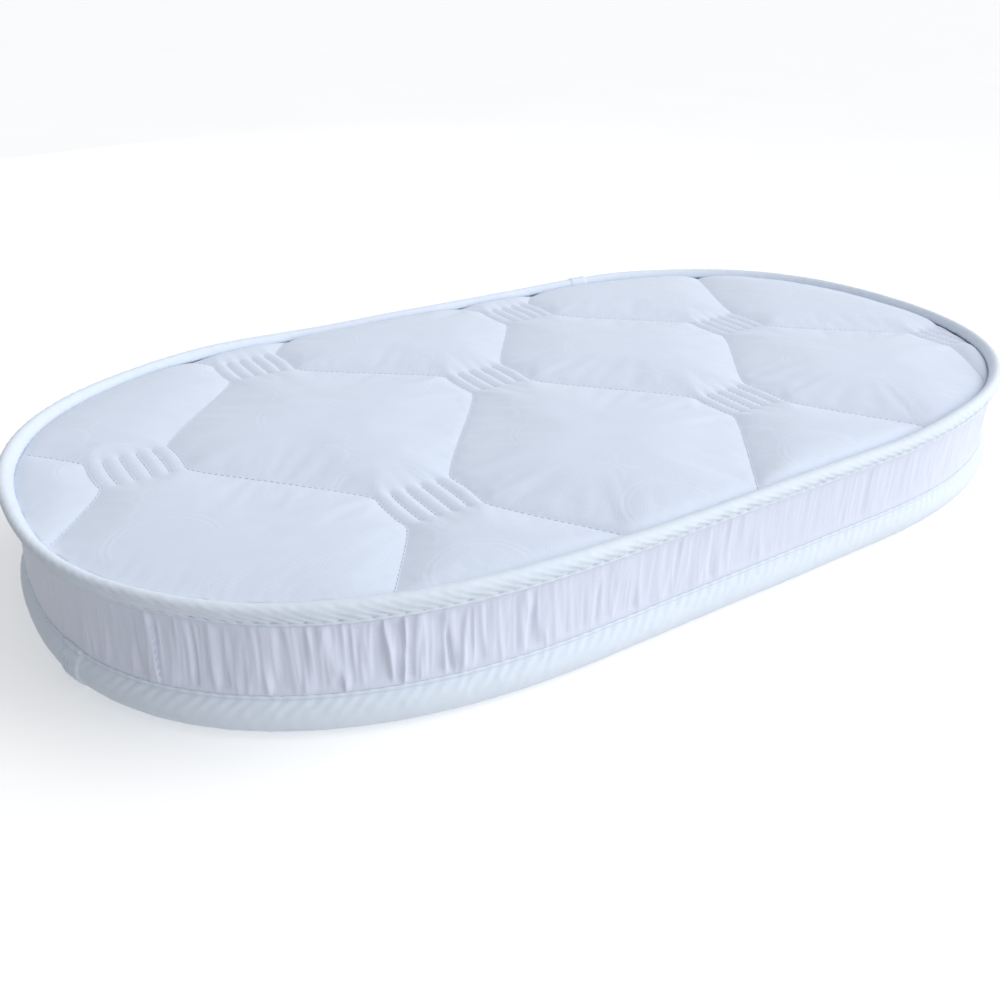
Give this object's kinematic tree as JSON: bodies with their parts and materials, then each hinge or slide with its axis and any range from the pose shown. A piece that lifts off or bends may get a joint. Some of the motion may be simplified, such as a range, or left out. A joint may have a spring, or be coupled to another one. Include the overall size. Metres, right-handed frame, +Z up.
{
  "type": "oval crib mattress",
  "caption": "Oval mattress for a baby's crib or cradle: foam core in a quilted white cover with a gathered border between two rolled, taped edges.",
  "frame": {"origin": "middle of the underside, at the level the mattress rests on", "axes": "+X along the length, +Y across the width, +Z up out of the sleeping surface"},
  "size_m": [0.75, 0.4102, 0.08],
  "materials": {
    "ticking": "matt knitted polyester with a fine dot relief",
    "border_fabric": "soft satin weave, gathered",
    "tape": "woven twill tape",
    "thread": "spun polyester thread",
    "wadding": "polyester fibre fleece",
    "backing": "spunbonded non-woven",
    "foam": "open-cell polyurethane foam"
  },
  "bodies": {
    "root": {"foam_core": "foam", "top_backing": "backing", "top_wadding": "wadding", "top_panel": "ticking", "top_quilting_thread": "thread", "bottom_backing": "backing", "bottom_wadding": "wadding", "bottom_panel": "ticking", "bottom_quilting_thread": "thread", "border_backing": "backing", "border_band": "border_fabric", "border_closing_thread": "thread", "top_edge_filler": "wadding", "bottom_edge_filler": "wadding", "top_tape": "tape", "bottom_tape": "tape", "top_needle_thread": "thread", "top_looper_thread": "thread", "bottom_needle_thread": "thread", "bottom_looper_thread": "thread", "top_tape_tack": "thread", "bottom_tape_tack": "thread"}
  },
  "joints": []
}
